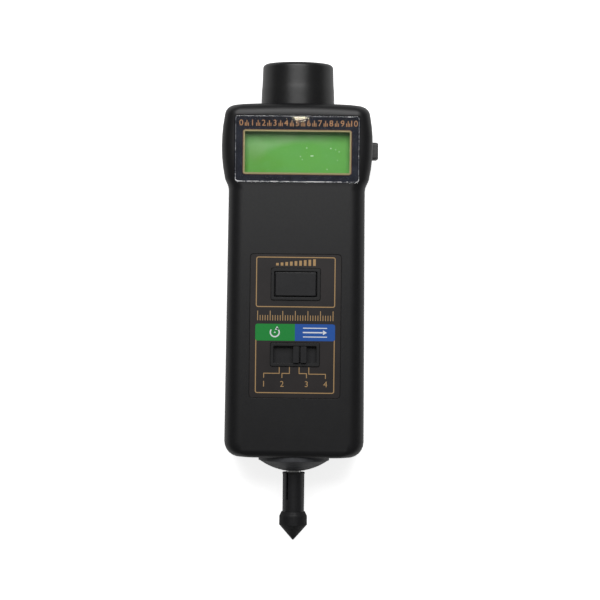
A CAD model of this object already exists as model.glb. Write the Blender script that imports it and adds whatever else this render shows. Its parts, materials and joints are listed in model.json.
import json
from math import cos, pi, radians, sin

import bmesh
import bpy
from mathutils import Matrix, Vector


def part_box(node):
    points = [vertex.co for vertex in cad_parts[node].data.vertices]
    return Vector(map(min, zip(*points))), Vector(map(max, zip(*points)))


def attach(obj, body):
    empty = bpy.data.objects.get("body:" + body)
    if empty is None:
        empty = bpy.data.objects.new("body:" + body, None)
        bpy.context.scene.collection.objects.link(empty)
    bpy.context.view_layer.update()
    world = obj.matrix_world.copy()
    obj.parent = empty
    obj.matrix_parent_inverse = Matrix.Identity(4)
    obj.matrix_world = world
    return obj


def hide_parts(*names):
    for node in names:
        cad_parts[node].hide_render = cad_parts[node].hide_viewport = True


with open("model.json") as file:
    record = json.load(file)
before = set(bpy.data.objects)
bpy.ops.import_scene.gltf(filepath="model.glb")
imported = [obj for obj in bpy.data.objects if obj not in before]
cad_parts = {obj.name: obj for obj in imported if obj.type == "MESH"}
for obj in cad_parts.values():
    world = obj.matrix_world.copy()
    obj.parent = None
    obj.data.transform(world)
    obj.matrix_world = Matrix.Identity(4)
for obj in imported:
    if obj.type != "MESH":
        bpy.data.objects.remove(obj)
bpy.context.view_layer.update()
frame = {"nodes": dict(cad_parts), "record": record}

# Lengths are in metres. x runs to the measuring button, y to the photo barrel, z out of the display.
mm = 0.001
NODES = frame["nodes"]

# Camera: straight above, a metre from the spindle's axis, with the photograph's small roll
AXIS_HEIGHT = 18.6 * mm
CAMERA_PLACE = (1.94 * mm, -8.4 * mm, AXIS_HEIGHT + 1)
CAMERA_ROLL = radians(0.66)
CAMERA_LENS = 136.4

# Lamps: place, the point each one is aimed at, size and brightness
KEY_PLACE, KEY_AIM = (-0.02, 0.5, 0.82), (0, 0.03, 0)
KEY_SIZE = (0.8, 0.6)
KEY_LEVEL = 5.2
GLINT_PLACE = (0.4 * mm, 27.6 * mm, 937 * mm)
GLINT_AIM = (0.8 * mm, 71 * mm, 38 * mm)
GLINT_SIZE = (9.5 * mm, 4 * mm)
GLINT_LEVEL = 60
GLINT_COLOUR = (1, 0.88, 0.64)
WORLD_LEVEL = 0.15
TABLE_GLOW = 0.78

# Display face, a plane that leans back from its lower edge
DISPLAY_LEAN = radians(3.7)
DISPLAY_PLACE = (0, 41.6 * mm, 36 * mm)
WINDOW_WIDTH = 54 * mm
WINDOW_LENGTH = 28.8 * mm
WINDOW_LOW = 0.8 * mm
WINDOW_MIDDLE = WINDOW_LOW + WINDOW_LENGTH / 2
WINDOW_CORNER = 1.5 * mm
WINDOW_TOP = 0.3 * mm
WINDOW_BACK = -1.48 * mm
WINDOW_CHAMFER = 0.22 * mm
PRINT_DEPTH = 0.25 * mm
VIEW_MIDDLE = 13.85 * mm
VIEW_WIDTH = 46.6 * mm
VIEW_LENGTH = 19.0 * mm
VIEW_CORNER = 1.0 * mm
FRAME_LINE = 0.7 * mm
FRAME_SHADE = 0.28 * mm
LAYER = 0.02 * mm
PRINT_GAP = 0.05 * mm
CHIP_LINE = 0.3 * mm
SPECK_LENGTH, SPECK_CORNER = 0.42 * mm, 0.12 * mm
# Place and width of each speck on the display face, in millimetres
SPECKS = (
    (4.1, 15.7, 0.5), (14.5, 15.6, 0.5), (18.1, 14.2, 0.3),
    (6.4, 12.3, 1.3), (2.2, 10.7, 0.3), (16.6, 15.1, 0.25),
)

# Scale over the view: numbers, with three strokes between each two
SCALE_WIDTH = 48.6 * mm
SCALE_STEPS = 10
SCALE_RISE = 1.5 * mm
SCALE_LINE = 0.32 * mm
SCALE_NUMBER, SCALE_NUMBER_RISE = 3.7 * mm, 1.4 * mm
STROKE_FOOT, STROKE_TALL, STROKE_SHORT = 0.3 * mm, 2.5 * mm, 1.4 * mm
STROKE_SHARES = (0.36, 0.5, 0.64)

# Liquid crystal: the height and the inset of its raised face
CELL_STEP = 0.3 * mm
CELL_INSET = 0.5 * mm

# Control panel and what is printed on it
PANEL_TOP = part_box("control_panel")[1].z
INK = 0.03 * mm
INK_LINE = 0.4 * mm
RULE_WIDTH = 34.3 * mm
RULE_CORNER = 1.0 * mm
UPPER_RULE_LOW, UPPER_RULE_HIGH = -11.6 * mm, 10.2 * mm
LOWER_RULE_LOW, LOWER_RULE_HIGH = -48.8 * mm, -18.8 * mm
BAND_LOW = -26.1 * mm
BAND_SPLIT = -0.1 * mm
BAND_MIDDLE = (LOWER_RULE_HIGH + BAND_LOW) / 2
BAND_OVERLAP = 0.1 * mm

# Arrows on the two bands
ARROW_LINE = 0.55 * mm
TURNING_X, STRAIGHT_X = -8.8 * mm, 8.6 * mm
TURN_RADIUS = 1.9 * mm
TURN_START, TURN_SWEEP = radians(60), radians(285)
TURN_HEAD, TURN_DOT = 1.05 * mm, 0.5 * mm
SHAFT_START, SHAFT_END = -5 * mm, 3 * mm
SHAFT_HEAD, SHAFT_HEAD_X = 1.15 * mm, 4 * mm
BELT_LINE, BELT_REACH, BELT_HALF = 0.4 * mm, 1.9 * mm, 5 * mm

# Marks of the panel: rising bars, a plain scale, leaders and numbers
BAR_COUNT = 9
BAR_PITCH, BAR_WIDTH = 2 * mm, 1.15 * mm
BAR_FOOT, BAR_FIRST, BAR_RISE = 6.4 * mm, 1.1 * mm, 0.22 * mm
MIDDLE_SCALE_WIDTH, MIDDLE_SCALE_LOW = 32.6 * mm, -17.2 * mm
MIDDLE_SCALE_TALL, MIDDLE_SCALE_COUNT = 4.2 * mm, 31
MARK_LINE = 0.34 * mm
LEADER_TOP, LEADER_TURN, LEADER_END = -37.6 * mm, -40.2 * mm, -42.0 * mm
# Across: where each leader starts and ends, and how much lower it lies, in millimetres
LEADERS = ((-6.7, -13.4, 0), (-2.3, -5.5, 0), (1.9, 5.1, 0), (6.1, 13.3, 0.2))
SWITCH_NUMBER, SWITCH_NUMBER_Y = 3.6 * mm, -44.9 * mm

# Rear shell: the corner of the cell bay's floor, and its move into the rounded end
FLOOR_CORNER = (28.67 * mm, -75.8 * mm, 3.15 * mm)
CORNER_MOVE = (-0.75 * mm, 0.85 * mm)
CORNER_FIND = 0.1 * mm

# Cells
CELL_BAND = 18 * mm


# Modelling, as by hand

def pick(piece):
    """Makes piece the only selected object, and the active one."""
    bpy.ops.object.select_all(action="DESELECT")
    piece.select_set(True)
    bpy.context.view_layer.objects.active = piece


def edit(piece):
    pick(piece)
    bpy.ops.object.mode_set(mode="EDIT")
    bpy.ops.mesh.select_all(action="SELECT")


def done():
    bpy.ops.object.mode_set(mode="OBJECT")


def choose(piece, kind, test):
    """In edit mode, selects the faces or edges whose middle and normal pass test, and nothing else."""
    bpy.ops.mesh.select_mode(type="FACE" if kind == "faces" else "EDGE")
    bpy.ops.mesh.select_all(action="DESELECT")
    shape = bmesh.from_edit_mesh(piece.data)
    for part in getattr(shape, kind):
        middle = sum((v.co for v in part.verts), Vector()) / len(part.verts)
        normal = part.normal if kind == "faces" else sum((f.normal for f in part.link_faces), Vector())
        part.select_set(bool(test(middle, normal)))
    bmesh.update_edit_mesh(piece.data)


def modify(piece, kind, **settings):
    """Adds a modifier and applies it."""
    modifier = piece.modifiers.new(kind, kind)
    for name, value in settings.items():
        setattr(modifier, name, value)
    pick(piece)
    bpy.ops.object.modifier_apply(modifier=modifier.name)


def settle(piece):
    """Moves the piece's place into its mesh."""
    pick(piece)
    bpy.ops.object.transform_apply(location=True, rotation=True, scale=True)


def smooth(piece, angle=35):
    pick(piece)
    bpy.ops.object.shade_smooth_by_angle(angle=radians(angle))


def face_smooth(piece, angle=35):
    """Smooth, with the large faces kept flat and the turn of the light in the small ones between."""
    smooth(piece, angle)
    modify(piece, "WEIGHTED_NORMAL", keep_sharp=True, weight=100)


def hollow(piece, cutter):
    """Cuts the cutter's shape out of the piece."""
    modify(piece, "BOOLEAN", object=cutter, operation="DIFFERENCE", solver="EXACT")
    bpy.data.objects.remove(cutter)


def onto_display(piece):
    """Carries a piece drawn flat, with its height from the display face, onto the leaning display."""
    settle(piece)
    piece.matrix_world = Matrix.Translation(DISPLAY_PLACE) @ Matrix.Rotation(DISPLAY_LEAN, 4, "X")
    settle(piece)
    return piece


def mounted(piece, name, body, finish, slot, *stands_for):
    """Names a finished piece, paints it and hangs it on its body."""
    piece.name = piece.data.name = name
    piece.data.materials.clear()
    piece.data.materials.append(finish)
    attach(piece, body)
    if stands_for:
        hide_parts(*stands_for)
    return piece


def joined(pieces):
    """Makes one object of several."""
    bpy.ops.object.select_all(action="DESELECT")
    for piece in pieces:
        piece.select_set(True)
    bpy.context.view_layer.objects.active = pieces[0]
    bpy.ops.object.join()
    return bpy.context.object


def plate(width, length, corner, low, high, x=0, y=0, steps=6):
    """A flat plate with rounded corners between two heights: a plane, its corners rounded, extruded."""
    bpy.ops.mesh.primitive_plane_add(size=1, location=(x, y, low))
    piece = bpy.context.object
    piece.scale = (width, length, 1)
    settle(piece)
    edit(piece)
    if corner:
        bpy.ops.mesh.bevel(offset=corner, segments=steps, affect="VERTICES")
        bpy.ops.mesh.select_all(action="SELECT")
    bpy.ops.mesh.extrude_region_move(TRANSFORM_OT_translate={"value": (0, 0, high - low)})
    bpy.ops.mesh.select_all(action="SELECT")
    bpy.ops.mesh.normals_make_consistent(inside=False)
    done()
    return piece


def ring_line(width, length, corner, line, low, high, x=0, y=0, steps=6):
    """A line round a rounded rectangle: a plane, its corners rounded, inset, emptied and extruded."""
    bpy.ops.mesh.primitive_plane_add(size=1, location=(x, y, low))
    piece = bpy.context.object
    piece.scale = (width, length, 1)
    settle(piece)
    edit(piece)
    bpy.ops.mesh.bevel(offset=corner, segments=steps, affect="VERTICES")
    bpy.ops.mesh.select_mode(type="FACE")
    bpy.ops.mesh.select_all(action="SELECT")
    bpy.ops.mesh.inset(thickness=line, depth=0)
    bpy.ops.mesh.delete(type="FACE")
    bpy.ops.mesh.select_all(action="SELECT")
    bpy.ops.mesh.extrude_region_move(TRANSFORM_OT_translate={"value": (0, 0, high - low)})
    bpy.ops.mesh.select_all(action="SELECT")
    bpy.ops.mesh.normals_make_consistent(inside=False)
    done()
    return piece


def path_line(points, line, low, high):
    """A line with square corners: a square of ink, its edge extruded from corner to corner, thickened."""
    start = Vector((*points[0], low))
    bpy.ops.mesh.primitive_plane_add(size=line, location=start)
    piece = bpy.context.object
    settle(piece)
    edit(piece)
    for here, there in zip(points, points[1:]):
        run = Vector((there[0] - here[0], there[1] - here[1], 0))
        way = run.normalized()
        edge = Vector((*here, low)) + way * line / 2
        for reach in (run - way * line, way * line):
            choose(piece, "edges", lambda middle, normal: (middle - edge).length < line / 8)
            bpy.ops.mesh.extrude_region_move(TRANSFORM_OT_translate={"value": reach})
            edge += reach
    bpy.ops.mesh.select_all(action="SELECT")
    bpy.ops.mesh.extrude_region_move(TRANSFORM_OT_translate={"value": (0, 0, high - low)})
    bpy.ops.mesh.select_all(action="SELECT")
    bpy.ops.mesh.normals_make_consistent(inside=False)
    done()
    return piece


def arc_line(radius, line, start, sweep, low, high, x=0, y=0, steps=28):
    """A curved line: one straight edge across it, spun round its centre, then given its thickness."""
    bpy.ops.mesh.primitive_plane_add(size=line, location=(radius, 0, low))
    piece = bpy.context.object
    settle(piece)
    edit(piece)
    choose(piece, "edges", lambda middle, normal: middle.y < line / 4)
    bpy.ops.mesh.delete(type="EDGE")
    bpy.ops.mesh.select_all(action="SELECT")
    bpy.ops.mesh.spin(steps=steps, angle=sweep, center=(0, 0, 0), axis=(0, 0, 1))
    bpy.ops.mesh.select_all(action="SELECT")
    bpy.ops.mesh.remove_doubles(threshold=line / 100)
    bpy.ops.mesh.extrude_region_move(TRANSFORM_OT_translate={"value": (0, 0, high - low)})
    bpy.ops.mesh.select_all(action="SELECT")
    bpy.ops.mesh.normals_make_consistent(inside=False)
    done()
    piece.matrix_world = Matrix.Translation((x, y, 0)) @ Matrix.Rotation(start, 4, "Z")
    settle(piece)
    return piece


def triangle(radius, low, high, x=0, y=0, turn=0.0):
    """A filled triangle with its point along turn."""
    bpy.ops.mesh.primitive_circle_add(vertices=3, radius=radius, fill_type="NGON", location=(0, 0, low))
    piece = bpy.context.object
    settle(piece)
    edit(piece)
    bpy.ops.mesh.extrude_region_move(TRANSFORM_OT_translate={"value": (0, 0, high - low)})
    bpy.ops.mesh.select_all(action="SELECT")
    bpy.ops.mesh.normals_make_consistent(inside=False)
    done()
    piece.matrix_world = Matrix.Translation((x, y, 0)) @ Matrix.Rotation(turn - pi / 2, 4, "Z")
    settle(piece)
    return piece


def figure(words, size, low, high, x=0, y=0):
    """A plain number in ink, centred on its place."""
    bpy.ops.object.text_add(location=(x, y, (low + high) / 2))
    piece = bpy.context.object
    piece.data.body = words
    piece.data.size = size
    piece.data.align_x, piece.data.align_y = "CENTER", "CENTER"
    piece.data.extrude = (high - low) / 2
    piece.data.resolution_u = 3
    pick(piece)
    bpy.ops.object.convert(target="MESH")
    piece = bpy.context.object
    settle(piece)
    return piece


def dressed(node, name, body, finish, slot, angle=35, edge=0.0):
    """A smooth copy of a CAD node's mesh that stands for it, with its loose triangles merged.

    Where edge is given, its sharp edges are rounded by that much.
    """
    piece = bpy.data.objects.new(name, NODES[node].data.copy())
    bpy.context.scene.collection.objects.link(piece)
    edit(piece)
    bpy.ops.mesh.remove_doubles(threshold=0.002 * mm)
    if edge:
        bpy.ops.mesh.dissolve_limited(angle_limit=radians(0.5))
    done()
    bpy.ops.mesh.customdata_custom_splitnormals_clear()
    if edge:
        modify(piece, "BEVEL", width=edge, segments=3, limit_method="ANGLE", angle_limit=radians(40))
    face_smooth(piece, angle)
    return mounted(piece, name, body, finish, slot, node)


# Finishes

def shade(red, green, blue):
    """A colour as it is read off a screen, from 0 to 255, as Blender wants it."""
    return tuple((v / 3294.6 if v <= 10 else ((v / 255 + 0.055) / 1.055) ** 2.4) for v in (red, green, blue))


def new_finish(name, colour, roughness, **sockets):
    """A material whose shader has these settings all over, before any pattern."""
    finish = bpy.data.materials.new(name)
    finish.use_nodes = True
    shader = shader_of(finish)
    shader.inputs["Base Color"].default_value = (*colour, 1)
    shader.inputs["Roughness"].default_value = roughness
    for socket, value in sockets.items():
        shader.inputs[socket.replace("_", " ")].default_value = value
    return finish


def shader_of(finish):
    return finish.node_tree.nodes["Principled BSDF"]


def add(finish, kind, **settings):
    """A new node; a setting that names one of its inputs is that input's value."""
    node = finish.node_tree.nodes.new(kind)
    for name, value in settings.items():
        label = name.replace("_", " ")
        if label in node.inputs:
            node.inputs[label].default_value = value
        else:
            setattr(node, name, value)
    return node


def join(finish, source, target):
    finish.node_tree.links.new(source, target)


def placed(finish, stretch=(1, 1, 1), centre=(0, 0, 0), turn=(0, 0, 0)):
    """The piece's own coordinates, moved so that centre is zero, turned and stretched."""
    coordinates = add(finish, "ShaderNodeTexCoord")
    moved = add(finish, "ShaderNodeMapping", vector_type="POINT")
    moved.inputs["Location"].default_value = [-c * s for c, s in zip(centre, stretch)]
    moved.inputs["Rotation"].default_value = turn
    moved.inputs["Scale"].default_value = stretch
    join(finish, coordinates.outputs["Object"], moved.inputs["Vector"])
    return moved.outputs["Vector"]


def noise(finish, size, detail=3.0, rough=0.5, **place):
    """A soft random pattern whose features are about size across."""
    node = add(finish, "ShaderNodeTexNoise", Scale=1 / size, Detail=detail, Roughness=rough)
    join(finish, placed(finish, **place), node.inputs["Vector"])
    return node.outputs["Fac"]


def between(finish, pattern, low, high, start=0.35, end=0.65):
    """A pattern's value, stretched from start..end to low..high."""
    node = add(finish, "ShaderNodeMapRange", From_Min=start, From_Max=end, To_Min=low, To_Max=high)
    join(finish, pattern, node.inputs["Value"])
    return node.outputs["Result"]


def along(finish, axis):
    """The piece's own coordinate along one axis."""
    parts = add(finish, "ShaderNodeSeparateXYZ")
    join(finish, placed(finish), parts.inputs["Vector"])
    return parts.outputs[axis]


def two_colours(finish, pattern, first, second, start=0.35, end=0.65):
    """Goes from one colour to the other as the pattern goes from start to end; first may be a socket."""
    node = add(finish, "ShaderNodeMix", data_type="RGBA")
    share, one, two = node.inputs[0], node.inputs[6], node.inputs[7]
    join(finish, between(finish, pattern, 0, 1, start, end), share)
    for socket, colour in ((one, first), (two, second)):
        if isinstance(colour, tuple):
            socket.default_value = (*colour, 1)
        else:
            join(finish, colour, socket)
    return node.outputs[2]


def paint(finish, colour):
    join(finish, colour, shader_of(finish).inputs["Base Color"])


def roughen(finish, pattern, low, high):
    join(finish, between(finish, pattern, low, high), shader_of(finish).inputs["Roughness"])


def relief(finish, pattern, depth, strength=1.0, under=None):
    """Raises the pattern by depth; under is the relief below it."""
    node = add(finish, "ShaderNodeBump", Strength=strength, Distance=depth)
    join(finish, pattern, node.inputs["Height"])
    if under:
        join(finish, under, node.inputs["Normal"])
    join(finish, node.outputs["Normal"], shader_of(finish).inputs["Normal"])
    return node.outputs["Normal"]


def soft_edges(finish, radius):
    """The light of a small edge radius, on the sharp edges of the mesh."""
    node = add(finish, "ShaderNodeBevel", samples=4, Radius=radius)
    return node.outputs["Normal"]


def moulded(name, first, second, roughness, grain, depth, specular=0.4, edge=0.3 * mm):
    """Moulded plastic: faint mottle, uneven sheen, an etched grain and soft edges."""
    finish = new_finish(name, first, roughness, Specular_IOR_Level=specular)
    mottle = noise(finish, 1.2 * mm, 4)
    paint(finish, two_colours(finish, mottle, first, second))
    roughen(finish, noise(finish, 5 * mm, 5, 0.6), roughness - 0.01, roughness + 0.015)
    relief(finish, noise(finish, grain, 2, 0.6), depth, 0.5, soft_edges(finish, edge))
    return finish


def metal(name, colour, roughness, brush=(1, 1, 1), size=0.3 * mm, depth=0.004 * mm):
    """Turned or drawn metal: fine marks along brush and a sheen that varies."""
    finish = new_finish(name, colour, roughness, Metallic=1.0)
    dim = tuple(c * 0.78 for c in colour)
    paint(finish, two_colours(finish, noise(finish, 2.2 * mm, 4), colour, dim))
    marks = noise(finish, size, 3, 0.6, stretch=brush)
    roughen(finish, marks, max(0.05, roughness - 0.08), roughness + 0.1)
    relief(finish, marks, depth, 0.5)
    return finish


def ink(name, colour, worn):
    """Screen-printed ink: thin in places, a little raised, half matt."""
    finish = new_finish(name, colour, 0.45, Specular_IOR_Level=0.35)
    paint(finish, two_colours(finish, noise(finish, 0.35 * mm, 5, 0.7), colour, worn, 0.5, 0.85))
    roughen(finish, noise(finish, 0.8 * mm, 4), 0.36, 0.55)
    relief(finish, noise(finish, 0.12 * mm, 2), 0.01 * mm, 0.4)
    return finish


case_plastic = moulded(
    "matt_black_case", shade(13, 13, 15), shade(17, 17, 19), 0.42, 0.28 * mm, 0.02 * mm, 0.42)
rear_plastic = moulded(
    "matt_black_back", shade(13, 13, 15), shade(17, 17, 18), 0.46, 0.28 * mm, 0.02 * mm, 0.4)
barrel_plastic = moulded(
    "satin_black_barrel", shade(15, 15, 16), shade(20, 20, 21), 0.38, 0.35 * mm, 0.006 * mm, 0.45)
button_plastic = moulded(
    "dark_grey_key", shade(17, 17, 20), shade(22, 22, 25), 0.4, 0.2 * mm, 0.008 * mm, 0.42, 0.15 * mm)
side_button_plastic = moulded(
    "grey_side_key", shade(66, 66, 66), shade(80, 80, 80), 0.45, 0.2 * mm, 0.008 * mm, 0.45, 0.2 * mm)
sleeve_plastic = moulded(
    "black_sleeve", shade(17, 17, 19), shade(25, 25, 27), 0.36, 0.3 * mm, 0.006 * mm, 0.5, 0.12 * mm)
inner_plastic = moulded(
    "black_inner_moulding", shade(20, 20, 21), shade(27, 27, 28), 0.5, 0.3 * mm, 0.01 * mm)
light_plastic = moulded(
    "ivory_socket", shade(214, 206, 186), shade(196, 188, 168), 0.42, 0.3 * mm, 0.006 * mm)
housing_plastic = moulded(
    "grey_bearing_housing", shade(58, 59, 62), shade(68, 69, 72), 0.45, 0.3 * mm, 0.01 * mm)


def tip_rubber_finish():
    """Black rubber, matt, with a faint bloom."""
    finish = new_finish("black_rubber", shade(15, 15, 17), 0.6, Specular_IOR_Level=0.3)
    bloom = noise(finish, 1.5 * mm, 5, 0.7)
    paint(finish, two_colours(finish, bloom, shade(15, 15, 17), shade(28, 28, 30), 0.45, 0.8))
    roughen(finish, noise(finish, 1.2 * mm, 4), 0.5, 0.7)
    relief(finish, noise(finish, 0.25 * mm, 4, 0.7), 0.03 * mm, 0.6, soft_edges(finish, 0.2 * mm))
    return finish


def strip_rubber_finish():
    finish = new_finish("strip_rubber", shade(70, 70, 74), 0.6)
    stripes = add(finish, "ShaderNodeTexWave", Scale=1 / (2.4 * mm), bands_direction="X")
    join(finish, placed(finish), stripes.inputs["Vector"])
    paint(finish, two_colours(finish, stripes.outputs["Fac"], shade(28, 28, 30), shade(196, 150, 160)))
    roughen(finish, noise(finish, 1 * mm), 0.5, 0.7)
    return finish


def panel_print_finish():
    """The control panel's printed sheet: warm dark grey, satin, with a fine even tooth."""
    finish = new_finish("panel_sheet", shade(30, 26, 26), 0.42, Specular_IOR_Level=0.4)
    cloud = noise(finish, 14 * mm, 3)
    paint(finish, two_colours(finish, cloud, shade(28, 24, 24), shade(36, 31, 31)))
    roughen(finish, noise(finish, 3 * mm, 5), 0.41, 0.43)
    relief(finish, noise(finish, 0.16 * mm, 2), 0.006 * mm, 0.5, soft_edges(finish, 0.15 * mm))
    return finish


def pane_finish():
    """Clear acrylic, with the faintest smear on it."""
    finish = new_finish("clear_acrylic", (1, 1, 1), 0.02, IOR=1.49, Transmission_Weight=1.0)
    roughen(finish, noise(finish, 6 * mm, 5, 0.7), 0.012, 0.04)
    relief(finish, noise(finish, 30 * mm, 1), 0.01 * mm, 0.01)
    return finish


def window_print_finish():
    """The dark blue print behind the window, glossy through the acrylic."""
    finish = new_finish("navy_print", shade(24, 27, 38), 0.15, Specular_IOR_Level=0.2)
    cloud = noise(finish, 5 * mm, 4, 0.6)
    paint(finish, two_colours(finish, cloud, shade(22, 25, 36), shade(38, 42, 54)))
    roughen(finish, noise(finish, 2 * mm, 4), 0.12, 0.2)
    relief(finish, noise(finish, 0.5 * mm, 3), 0.006 * mm, 0.3)
    return finish


def chipped_edge_finish():
    """The window's edge, where the print has chipped and the bare acrylic shines."""
    finish = new_finish("chipped_edge", shade(40, 44, 52), 0.3)
    rubbed = noise(finish, 0.8 * mm, 5, 0.7)
    worn = two_colours(finish, rubbed, shade(36, 39, 48), shade(132, 134, 140), 0.45, 0.56)
    chips = add(finish, "ShaderNodeMath", operation="ADD")
    join(finish, noise(finish, 3.4 * mm, 6, 0.8), chips.inputs[0])
    join(finish, between(finish, along(finish, "Y"), 0.1, 0, 43 * mm, 46 * mm), chips.inputs[1])
    paint(finish, two_colours(finish, chips.outputs[0], worn, shade(240, 240, 240), 0.56, 0.6))
    roughen(finish, chips.outputs[0], 0.2, 0.5)
    relief(finish, chips.outputs[0], 0.05 * mm, 0.5)
    return finish


def lcd_finish():
    """The unlit liquid crystal: green, paler above a pool of deeper green, yellower at one lower corner."""
    low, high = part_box("lcd_cell")
    middle = (low + high) / 2
    flat = 1 / mm * 0.01
    finish = new_finish("green_liquid_crystal", shade(112, 186, 92), 0.16, Specular_IOR_Level=0.2)
    pool = add(finish, "ShaderNodeTexGradient", gradient_type="SPHERICAL")
    pool_centre = (middle.x + 3 * mm, middle.y - 7 * mm, middle.z)
    place = placed(finish, centre=pool_centre, stretch=(1 / (44 * mm), 1 / (25 * mm), flat))
    join(finish, place, pool.inputs["Vector"])
    pale = add(finish, "ShaderNodeMath", operation="MULTIPLY")
    join(finish, between(finish, pool.outputs["Fac"], 1, 0, 0.48, 0.57), pale.inputs[0])
    fading = between(finish, along(finish, "X"), 1, 0.15, middle.x + 2 * mm, middle.x + 16 * mm)
    join(finish, fading, pale.inputs[1])
    paler = two_colours(finish, pale.outputs[0], shade(108, 184, 84), shade(134, 190, 118), 0.0, 1.0)
    lower_corner = add(finish, "ShaderNodeTexGradient", gradient_type="SPHERICAL")
    lower_centre = (low.x + 1 * mm, low.y, middle.z)
    lower = placed(finish, centre=lower_centre, stretch=(1 / (24 * mm), 1 / (16 * mm), flat))
    join(finish, lower, lower_corner.inputs["Vector"])
    yellower = two_colours(finish, lower_corner.outputs["Fac"], paler, shade(98, 164, 50), 0.1, 0.8)
    mottled = two_colours(finish, noise(finish, 7 * mm, 3), yellower, shade(106, 182, 90), 0.4, 0.9)
    specks = add(finish, "ShaderNodeTexVoronoi", Scale=1 / (5 * mm))
    join(finish, placed(finish), specks.inputs["Vector"])
    few = add(finish, "ShaderNodeMath", operation="MULTIPLY")
    join(finish, between(finish, specks.outputs["Distance"], 1, 0, 0.03, 0.06), few.inputs[0])
    join(finish, between(finish, noise(finish, 12 * mm, 1), 0, 1, 0.5, 0.54), few.inputs[1])
    paint(finish, two_colours(finish, few.outputs[0], mottled, shade(196, 222, 176), 0.0, 1.0))
    roughen(finish, noise(finish, 3 * mm, 3), 0.12, 0.22)
    relief(finish, noise(finish, 0.4 * mm, 2), 0.004 * mm, 0.3)
    return finish


def circuit_board_finish():
    """Green solder mask over tracks, with a glossy film."""
    finish = new_finish("green_circuit_board", shade(28, 84, 48), 0.35, Coat_Weight=0.4)
    tracks = add(finish, "ShaderNodeTexBrick", Scale=1 / (4 * mm))
    join(finish, placed(finish), tracks.inputs["Vector"])
    tracks.inputs["Mortar Size"].default_value = 0.03
    paint(finish, two_colours(finish, tracks.outputs["Fac"], shade(28, 84, 48), shade(52, 118, 66), 0.2, 0.8))
    roughen(finish, noise(finish, 2 * mm), 0.3, 0.45)
    relief(finish, tracks.outputs["Fac"], 0.03 * mm, 0.5)
    return finish


def lens_finish():
    finish = new_finish("lens_glass", (0.9, 0.92, 0.95), 0.03, IOR=1.5, Transmission_Weight=1.0)
    roughen(finish, noise(finish, 5 * mm, 4), 0.01, 0.05)
    relief(finish, noise(finish, 8 * mm, 2), 0.02 * mm, 0.05)
    return finish


def coloured_lens_finish(name, colour):
    finish = new_finish(name, colour, 0.12, Coat_Weight=0.6)
    paint(finish, two_colours(finish, noise(finish, 1.5 * mm), colour, tuple(c * 0.6 for c in colour)))
    roughen(finish, noise(finish, 0.8 * mm), 0.08, 0.2)
    relief(finish, noise(finish, 2 * mm), 0.01 * mm, 0.2)
    return finish


def insulation_finish(name, colour):
    finish = new_finish(name, colour, 0.45)
    paint(finish, two_colours(finish, noise(finish, 2 * mm, 4), colour, tuple(c * 0.7 for c in colour)))
    roughen(finish, noise(finish, 1 * mm), 0.4, 0.55)
    relief(finish, noise(finish, 0.3 * mm), 0.01 * mm, 0.4)
    return finish


def encoder_finish():
    """Black card disc with a fine turned sheen."""
    finish = new_finish("black_encoder_disc", shade(22, 22, 24), 0.5)
    paint(finish, two_colours(finish, noise(finish, 1 * mm), shade(20, 20, 22), shade(32, 32, 35)))
    roughen(finish, noise(finish, 0.5 * mm), 0.4, 0.6)
    relief(finish, noise(finish, 0.2 * mm), 0.006 * mm, 0.4)
    return finish


def cell_jacket_finish():
    """A plain cell: a glossy dark wrap with a pale band near each end, and bare nickel caps."""
    finish = new_finish("cell_wrap", shade(26, 27, 30), 0.28, Coat_Weight=0.3)
    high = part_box("battery_1")[1]
    reach = add(finish, "ShaderNodeMath", operation="ABSOLUTE")
    join(finish, along(finish, "X"), reach.inputs[0])
    out = reach.outputs[0]
    scuffs = noise(finish, 1.6 * mm, 5, 0.7, stretch=(0.3, 1, 1))
    wrap = two_colours(finish, scuffs, shade(24, 25, 28), shade(40, 41, 44), 0.5, 0.75)
    banded = two_colours(finish, out, wrap, shade(186, 190, 194), CELL_BAND, CELL_BAND + 0.1 * mm)
    closed = two_colours(finish, out, banded, wrap, CELL_BAND + 1.4 * mm, CELL_BAND + 1.5 * mm)
    cap = high.x - 2.2 * mm
    paint(finish, two_colours(finish, out, closed, (0.66, 0.64, 0.58), cap, cap + 0.1 * mm))
    join(finish, between(finish, out, 0, 1, cap, cap + 0.1 * mm), shader_of(finish).inputs["Metallic"])
    roughen(finish, scuffs, 0.22, 0.4)
    relief(finish, noise(finish, 3 * mm, 3), 0.02 * mm, 0.3)
    return finish


rubber = tip_rubber_finish()
strip_rubber = strip_rubber_finish()
panel_sheet = panel_print_finish()
acrylic = pane_finish()
navy_print = window_print_finish()
chipped_edge = chipped_edge_finish()
lcd_green = lcd_finish()
circuit_board = circuit_board_finish()
lens_glass = lens_finish()
red_lens = coloured_lens_finish("red_lamp_lens", shade(150, 22, 20))
dark_lens = coloured_lens_finish("dark_detector_lens", shade(26, 18, 22))
red_insulation = insulation_finish("red_insulation", shade(168, 24, 22))
black_insulation = insulation_finish("black_insulation", shade(26, 26, 28))
grey_ribbon = insulation_finish("grey_ribbon", shade(140, 142, 146))
encoder_black = encoder_finish()
cell_jacket = cell_jacket_finish()
steel = metal("bright_steel", (0.62, 0.62, 0.61), 0.22, brush=(1, 1, 1))
zinc = metal("zinc_screw", (0.55, 0.55, 0.53), 0.32)
nickel = metal("nickel_plate", (0.66, 0.64, 0.58), 0.2)
brass = metal("brass_cage", (0.72, 0.5, 0.22), 0.28)
gold_ink = ink("gold_ink", shade(180, 146, 100), shade(136, 108, 72))
window_gold = ink("window_gold_ink", shade(164, 154, 106), shade(134, 126, 88))
window_brown = ink("window_brown_ink", shade(190, 138, 88), shade(150, 104, 66))
red_brown_ink = ink("red_brown_ink", shade(104, 62, 44), shade(78, 48, 36))
green_ink = ink("green_ink", shade(14, 138, 54), shade(14, 122, 48))
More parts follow.
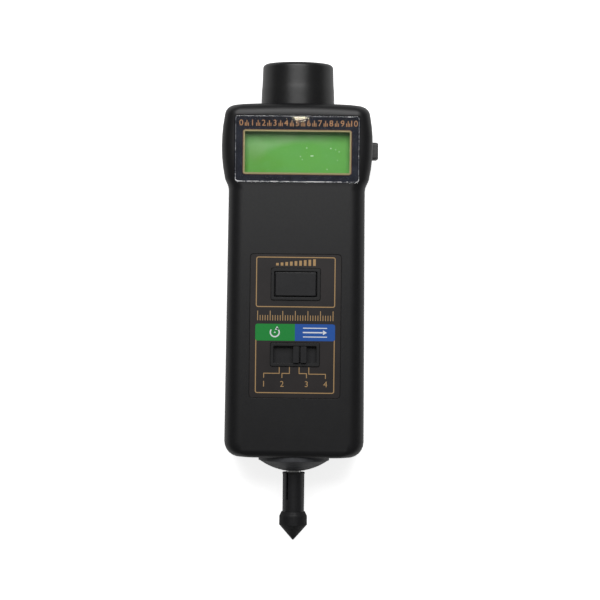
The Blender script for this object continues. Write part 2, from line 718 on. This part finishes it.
blue_ink = ink("blue_ink", shade(24, 84, 168), shade(22, 74, 150))
white_ink = ink("white_ink", shade(232, 236, 240), shade(190, 200, 210))
pale_dust = ink("pale_dust", shade(206, 236, 196), shade(170, 214, 156))

FINISHES = {
    "case_plastic": case_plastic, "barrel_plastic": barrel_plastic, "button_plastic": button_plastic,
    "window_acrylic": acrylic, "lcd_glass": lcd_green, "inner_plastic": inner_plastic, "light_plastic": light_plastic,
    "strip_rubber": strip_rubber, "panel_print": panel_sheet, "circuit_board": circuit_board, "steel": steel,
    "zinc_screw": zinc, "nickel": nickel, "cage_brass": brass, "housing_plastic": housing_plastic,
    "lens_glass": lens_glass, "red_lens": red_lens, "dark_lens": dark_lens, "grey_cable": grey_ribbon,
    "encoder_black": encoder_black, "tip_rubber": rubber, "cell_jacket": cell_jacket,
    "red_insulation": red_insulation, "black_insulation": black_insulation,
}


def dress_inner_nodes():
    """Every CAD node gets the finish of its own slot; the ones that show are replaced below."""
    for part in frame["record"]["subparts"]:
        mesh = NODES[part["node"]].data
        mesh.materials.clear()
        mesh.materials.append(FINISHES[part["material_slot"]])


# Camera, lamps and floor

def set_camera():
    bpy.ops.object.camera_add(location=CAMERA_PLACE, rotation=(0, 0, CAMERA_ROLL))
    camera = bpy.context.object
    camera.data.lens = CAMERA_LENS
    camera.data.sensor_width = 36
    camera.data.clip_start, camera.data.clip_end = 0.01, 20
    bpy.context.scene.camera = camera


def softbox(name, place, aim, width, length, radiance, colour=(1, 1, 1)):
    """A rectangular lamp, aimed at a point, of one brightness over its face."""
    bpy.ops.object.light_add(type="AREA", location=place)
    lamp = bpy.context.object
    lamp.name = name
    lamp.data.shape = "RECTANGLE"
    lamp.data.size, lamp.data.size_y = width, length
    lamp.data.energy = radiance * pi * width * length
    lamp.data.color = colour
    lamp.rotation_euler = (Vector(aim) - Vector(place)).to_track_quat("-Z", "Y").to_euler()
    lamp.visible_camera = False
    return lamp


def set_light():
    """A broad lamp, a small warm one for the glint on the window, and a world the camera sees as white."""
    softbox("key", KEY_PLACE, KEY_AIM, *KEY_SIZE, KEY_LEVEL)
    softbox("glint", GLINT_PLACE, GLINT_AIM, *GLINT_SIZE, GLINT_LEVEL, GLINT_COLOUR)
    world = bpy.context.scene.world or bpy.data.worlds.new("studio")
    bpy.context.scene.world = world
    world.use_nodes = True
    nodes, links = world.node_tree.nodes, world.node_tree.links
    back = nodes["Background"]
    back.inputs["Color"].default_value = (1, 1, 1, 1)
    seen = nodes.new("ShaderNodeLightPath")
    level = nodes.new("ShaderNodeMix")
    level.data_type = "FLOAT"
    level.inputs[2].default_value, level.inputs[3].default_value = WORLD_LEVEL, 1.0
    links.new(seen.outputs["Is Camera Ray"], level.inputs[0])
    links.new(level.outputs[0], back.inputs["Strength"])


def set_floor():
    """A wide white table that the camera sees brighter than the lamps make it, with the object's shadow."""
    bpy.ops.mesh.primitive_plane_add(size=8, location=(0, 0, -0.1 * mm))
    table = bpy.context.object
    table.name = "white_table"
    finish = new_finish("white_table", (0.9, 0.9, 0.9), 0.9, Specular_IOR_Level=0.1)
    paint(finish, two_colours(finish, noise(finish, 300 * mm, 2), (0.9, 0.9, 0.9), (0.92, 0.92, 0.92)))
    seen = add(finish, "ShaderNodeLightPath")
    shader = shader_of(finish)
    shader.inputs["Emission Color"].default_value = (1, 1, 1, 1)
    glow = between(finish, seen.outputs["Is Camera Ray"], 0, TABLE_GLOW, 0, 1)
    join(finish, glow, shader.inputs["Emission Strength"])
    table.data.materials.append(finish)


# Shells, barrel and drive

def make_shells():
    dressed("front_case", "front_shell", "case", case_plastic, "case_plastic", 30)
    rear = dressed("rear_case", "rear_shell", "case", rear_plastic, "case_plastic", 30)
    edit(rear)
    x, y, z = FLOOR_CORNER
    inward, upward = CORNER_MOVE
    for side in (-1, 1):
        corner = Vector((side * x, y, z))
        choose(rear, "edges", lambda middle, normal: (middle - corner).length < CORNER_FIND)
        bpy.ops.transform.translate(value=(side * inward, upward, 0))
    done()
    dressed("battery_cover", "battery_door", "battery_cover", rear_plastic, "case_plastic", 30)
    dressed("photo_barrel", "barrel_shell", "case", barrel_plastic, "barrel_plastic", 30)
    dressed("photo_lens", "front_lens", "case", lens_glass, "lens_glass", 30)
    dressed("lens_ring", "lens_seat_ring", "case", inner_plastic, "inner_plastic", 30)
    dressed("case_screws", "back_screws", "case", zinc, "zinc_screw", 30)


def make_drive():
    dressed("spindle", "drive_shaft", "spindle", steel, "steel", 30)
    dressed("adapter_sleeve", "collet_sleeve", "adapter", sleeve_plastic, "barrel_plastic", 30)
    dressed("rubber_tip", "contact_cone", "adapter", rubber, "tip_rubber", 30)


def make_keys():
    dressed("memory_button", "memory_key", "memory_button", button_plastic, "button_plastic", 30, 0.2 * mm)
    dressed("switch_knob", "function_knob_cap", "function_knob", button_plastic, "button_plastic", 30, 0.15 * mm)
    dressed("switch_slider", "function_slide_stem", "function_knob", inner_plastic, "inner_plastic", 30)
    dressed("measure_button", "measuring_key", "measure_button", side_button_plastic, "button_plastic", 30, 0.25 * mm)


# Display window

def make_window():
    """The acrylic plate and the dark print on its back, with the view left clear."""
    pane = plate(WINDOW_WIDTH, WINDOW_LENGTH, WINDOW_CORNER,
        WINDOW_BACK + PRINT_DEPTH, WINDOW_TOP, y=WINDOW_MIDDLE)
    edit(pane)
    rim = WINDOW_TOP - LAYER / 2
    choose(pane, "edges", lambda middle, normal: middle.z > rim)
    bpy.ops.mesh.bevel(offset=WINDOW_CHAMFER, segments=2, affect="EDGES")
    done()
    smooth(pane, 15)
    mounted(onto_display(pane), "window_pane", "case", acrylic, "window_acrylic", "display_window")
    pane.visible_shadow = pane.visible_diffuse = False

    back = plate(WINDOW_WIDTH, WINDOW_LENGTH, WINDOW_CORNER,
        WINDOW_BACK, WINDOW_BACK + PRINT_DEPTH - PRINT_GAP, y=WINDOW_MIDDLE)
    hollow(back, plate(VIEW_WIDTH, VIEW_LENGTH, VIEW_CORNER, WINDOW_BACK - mm, WINDOW_TOP, y=VIEW_MIDDLE))
    mounted(onto_display(back), "window_print", "case", navy_print, "panel_print")


def make_view_lines():
    """The gold line along the view's edge and the red-brown one just outside it."""
    low, high = WINDOW_BACK + LAYER, WINDOW_BACK + PRINT_DEPTH - LAYER
    line = ring_line(VIEW_WIDTH + 2 * PRINT_GAP, VIEW_LENGTH + 2 * PRINT_GAP, VIEW_CORNER,
        FRAME_LINE, low, high, y=VIEW_MIDDLE)
    mounted(onto_display(line), "window_gold_line", "case", window_gold, "panel_print")
    outline = ring_line(VIEW_WIDTH + 2 * FRAME_SHADE, VIEW_LENGTH + 2 * FRAME_SHADE,
        VIEW_CORNER + FRAME_SHADE, FRAME_SHADE, low, high, y=VIEW_MIDDLE)
    mounted(onto_display(outline), "window_red_line", "case", red_brown_ink, "panel_print")


def make_window_wear():
    """The chipped edge and the specks on the window's face."""
    chips = ring_line(WINDOW_WIDTH - 2 * WINDOW_CHAMFER, WINDOW_LENGTH - 2 * WINDOW_CHAMFER,
        WINDOW_CORNER - WINDOW_CHAMFER, CHIP_LINE, WINDOW_TOP, WINDOW_TOP + LAYER, y=WINDOW_MIDDLE)
    mounted(onto_display(chips), "window_edge_chips", "case", chipped_edge, "window_acrylic")
    specks = []
    for x, y, wide in SPECKS:
        specks.append(plate(wide * mm, SPECK_LENGTH, SPECK_CORNER,
            WINDOW_TOP, WINDOW_TOP + LAYER, x * mm, y * mm, 2))
    mounted(onto_display(joined(specks)), "window_specks", "case", pale_dust, "window_acrylic")


def make_liquid_crystal():
    """The glass cell: a plate with the polariser raised a little inside its edge."""
    low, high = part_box("lcd_cell")
    middle = (low + high) / 2
    size = high - low
    roof = high.z - CELL_STEP
    cell = plate(size.x, size.y, 0, low.z, roof, middle.x, middle.y)
    edit(cell)
    choose(cell, "faces", lambda centre, normal: centre.z > roof - LAYER / 2)
    bpy.ops.mesh.inset(thickness=CELL_INSET, depth=0)
    bpy.ops.mesh.extrude_region_move(TRANSFORM_OT_translate={"value": (0, 0, CELL_STEP)})
    done()
    smooth(cell, 25)
    mounted(cell, "liquid_crystal", "case", lcd_green, "lcd_glass", "lcd_cell")


def scale_ticks(width, low, length, count, line, floor, top):
    """A row of short and long strokes, like a dial's scale laid out straight."""
    strokes = []
    for i in range(count):
        tall = length if i % 5 == 0 else length * 0.55
        x = (i / (count - 1) - 0.5) * width
        strokes.append(path_line([(x, low), (x, low + tall - line)], line, floor, top))
    return joined(strokes)


def make_window_scale():
    """Plain scale over the view: numbers, and between each two a tall stroke with a short one each side."""
    floor, top = WINDOW_BACK + PRINT_DEPTH - PRINT_GAP, WINDOW_BACK + PRINT_DEPTH - LAYER / 2
    base = VIEW_MIDDLE + VIEW_LENGTH / 2 + SCALE_RISE
    numbers = []
    for i in range(SCALE_STEPS + 1):
        x = (i / SCALE_STEPS - 0.5) * SCALE_WIDTH
        numbers.append(figure(str(i), SCALE_NUMBER, floor, top, x, base + SCALE_NUMBER_RISE))
    strokes = []
    for i in range(SCALE_STEPS):
        for part in STROKE_SHARES:
            x = ((i + part) / SCALE_STEPS - 0.5) * SCALE_WIDTH
            tall = STROKE_TALL if part == 0.5 else STROKE_SHORT
            strokes.append(path_line([(x, base + STROKE_FOOT), (x, base + tall)], SCALE_LINE, floor, top))
    mounted(onto_display(joined(numbers + strokes)), "window_scale", "case", window_brown, "panel_print")


# Control panel

def ink_layer(layer=0):
    """The bottom and top of a layer of ink on the panel."""
    return PANEL_TOP + layer * INK, PANEL_TOP + (layer + 1) * INK


def make_panel():
    """The printed sheet and the two gold rules round its fields."""
    dressed("control_panel", "panel_sheet", "case", panel_sheet, "panel_print", 30)
    floor, top = ink_layer()
    rules = (("upper_rule", UPPER_RULE_LOW, UPPER_RULE_HIGH), ("lower_rule", LOWER_RULE_LOW, LOWER_RULE_HIGH))
    for name, low, high in rules:
        rule = ring_line(RULE_WIDTH, high - low, RULE_CORNER, INK_LINE, floor, top, y=(low + high) / 2)
        mounted(rule, name, "case", gold_ink, "panel_print")


def make_bands():
    """The two coloured bands over the function switch: one plate, copied, each copy cut at the split."""
    floor, top = ink_layer(1)
    whole = plate(RULE_WIDTH + 2 * BAND_OVERLAP, LOWER_RULE_HIGH - BAND_LOW, RULE_CORNER,
        floor, top, y=BAND_MIDDLE)
    other = whole.copy()
    other.data = whole.data.copy()
    bpy.context.scene.collection.objects.link(other)
    bands = ((whole, "green_band", green_ink, True), (other, "blue_band", blue_ink, False))
    for band, name, finish, left in bands:
        edit(band)
        bpy.ops.mesh.bisect(plane_co=(BAND_SPLIT, 0, 0), plane_no=(1, 0, 0), use_fill=True,
            clear_outer=left, clear_inner=not left)
        done()
        mounted(band, name, "case", finish, "panel_print")


def make_arrows():
    """White arrows on the bands: a turning one round a dot, and a straight one between two lines."""
    floor, top = ink_layer(2)
    y = BAND_MIDDLE
    turning = arc_line(TURN_RADIUS, ARROW_LINE, TURN_START, TURN_SWEEP, floor, top, TURNING_X, y)
    head = triangle(TURN_HEAD, floor, top, TURNING_X + TURN_RADIUS * cos(TURN_START),
        y + TURN_RADIUS * sin(TURN_START), TURN_START - pi / 2)
    dot = triangle(TURN_DOT, floor, top, TURNING_X, y, pi / 2)
    mounted(joined([turning, head, dot]), "turning_arrow", "case", white_ink, "panel_print")
    shaft = path_line([(STRAIGHT_X + SHAFT_START, y), (STRAIGHT_X + SHAFT_END, y)], ARROW_LINE, floor, top)
    point = triangle(SHAFT_HEAD, floor, top, STRAIGHT_X + SHAFT_HEAD_X, y, 0)
    lines = []
    for belt_y in (y - BELT_REACH, y + BELT_REACH):
        ends = [(STRAIGHT_X - BELT_HALF, belt_y), (STRAIGHT_X + BELT_HALF, belt_y)]
        lines.append(path_line(ends, BELT_LINE, floor, top))
    mounted(joined([shaft, point] + lines), "straight_arrow", "case", white_ink, "panel_print")


def make_panel_marks():
    """Gold marks: nine rising bars over the memory key, a plain scale between the frames, and the
    leaders and numbers of the function switch."""
    floor, top = ink_layer()
    bars = []
    for i in range(BAR_COUNT):
        tall = BAR_FIRST + i * BAR_RISE
        x = (i - (BAR_COUNT - 1) / 2) * BAR_PITCH
        bars.append(plate(BAR_WIDTH, tall, 0, floor, top, x, BAR_FOOT + tall / 2))
    mounted(joined(bars), "memory_bars", "case", gold_ink, "panel_print")
    scale = scale_ticks(MIDDLE_SCALE_WIDTH, MIDDLE_SCALE_LOW, MIDDLE_SCALE_TALL, MIDDLE_SCALE_COUNT,
        MARK_LINE, floor, top)
    mounted(scale, "middle_scale", "case", gold_ink, "panel_print")
    leaders = []
    for start, end, lower in LEADERS:
        turn_y = LEADER_TURN - lower * mm
        corners = [(start * mm, LEADER_TOP), (start * mm, turn_y), (end * mm, turn_y),
            (end * mm, LEADER_END - lower * mm)]
        leaders.append(path_line(corners, MARK_LINE, floor, top))
    mounted(joined(leaders), "switch_leaders", "case", gold_ink, "panel_print")
    numbers = [figure(str(i + 1), SWITCH_NUMBER, floor, top, end * mm, SWITCH_NUMBER_Y)
        for i, (start, end, lower) in enumerate(LEADERS)]
    mounted(joined(numbers), "switch_numbers", "case", gold_ink, "panel_print")


set_camera()
dress_inner_nodes()
make_shells()
make_drive()
make_keys()
make_window()
make_view_lines()
make_window_wear()
make_liquid_crystal()
make_window_scale()
make_panel()
make_bands()
make_arrows()
make_panel_marks()
set_light()
set_floor()
bpy.context.scene.view_settings.view_transform = "Standard"
